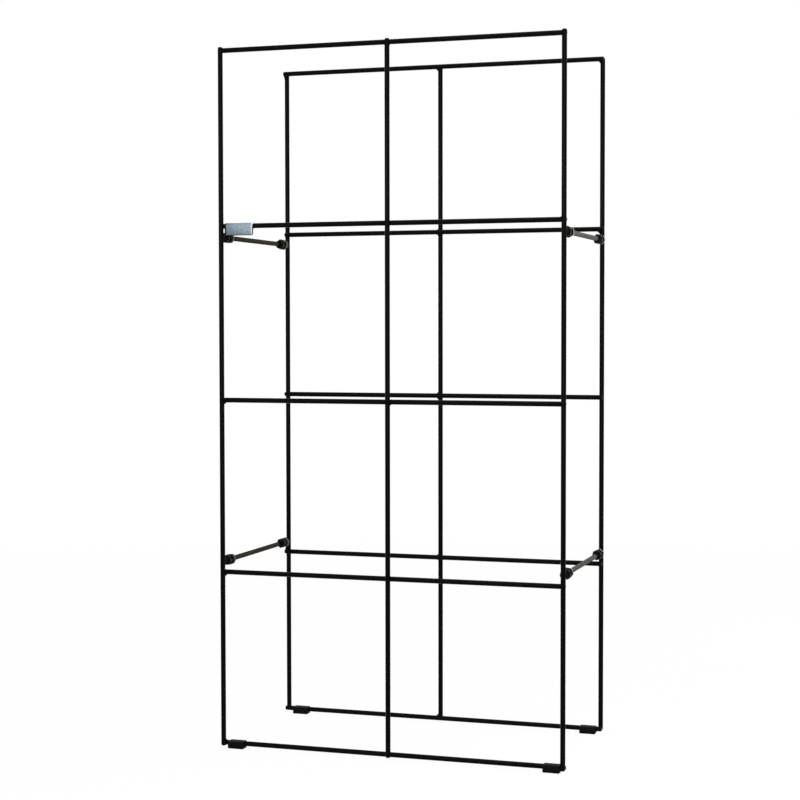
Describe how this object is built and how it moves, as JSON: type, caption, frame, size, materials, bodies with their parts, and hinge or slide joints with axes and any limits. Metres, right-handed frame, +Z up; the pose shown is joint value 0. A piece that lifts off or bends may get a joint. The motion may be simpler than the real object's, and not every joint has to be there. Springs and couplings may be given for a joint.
{
  "type": "plant shelf frame",
  "caption": "Tall free-standing plant shelf frame: two welded wire grids of square cells, held apart by threaded rods with coupling nuts, on clip-on rubber feet.",
  "frame": {"origin": "on the floor under the middle of the frame, half way between the two panels", "axes": "+X to the right along the width as seen from the front, +Y from the front panel to the rear panel, +Z up"},
  "size_m": [0.4087, 0.2108, 0.797],
  "materials": {
    "black_coat": "satin black powder coat on wire and studs",
    "rod_steel": "dull brown-grey threaded rod",
    "nut_steel": "blackened hexagon bar",
    "foot_rubber": "matt black moulded rubber",
    "tag_zinc": "pale blue-grey zinc-plated sheet, bare"
  },
  "bodies": {
    "root": {"front_crossbar_bottom": "black_coat", "front_crossbar_lower": "black_coat", "front_crossbar_middle": "black_coat", "front_crossbar_top": "black_coat", "front_crossbar_upper": "black_coat", "front_foot_left": "foot_rubber", "front_foot_right": "foot_rubber", "front_nut_left_lower": "nut_steel", "front_nut_left_upper": "nut_steel", "front_nut_right_lower": "nut_steel", "front_nut_right_upper": "nut_steel", "front_stud_left_lower": "black_coat", "front_stud_left_upper": "black_coat", "front_stud_right_lower": "black_coat", "front_stud_right_upper": "black_coat", "front_upright_left": "black_coat", "front_upright_middle": "black_coat", "front_upright_right": "black_coat", "rear_crossbar_bottom": "black_coat", "rear_crossbar_lower": "black_coat", "rear_crossbar_middle": "black_coat", "rear_crossbar_top": "black_coat", "rear_crossbar_upper": "black_coat", "rear_foot_left": "foot_rubber", "rear_foot_right": "foot_rubber", "rear_nut_left_lower": "nut_steel", "rear_nut_left_upper": "nut_steel", "rear_nut_right_lower": "nut_steel", "rear_nut_right_upper": "nut_steel", "rear_stud_left_lower": "black_coat", "rear_stud_left_upper": "black_coat", "rear_stud_right_lower": "black_coat", "rear_stud_right_upper": "black_coat", "rear_upright_left": "black_coat", "rear_upright_middle": "black_coat", "rear_upright_right": "black_coat", "rod_left_lower": "rod_steel", "rod_left_upper": "rod_steel", "rod_right_lower": "rod_steel", "rod_right_upper": "rod_steel", "sheet_tag": "tag_zinc"}
  },
  "joints": []
}
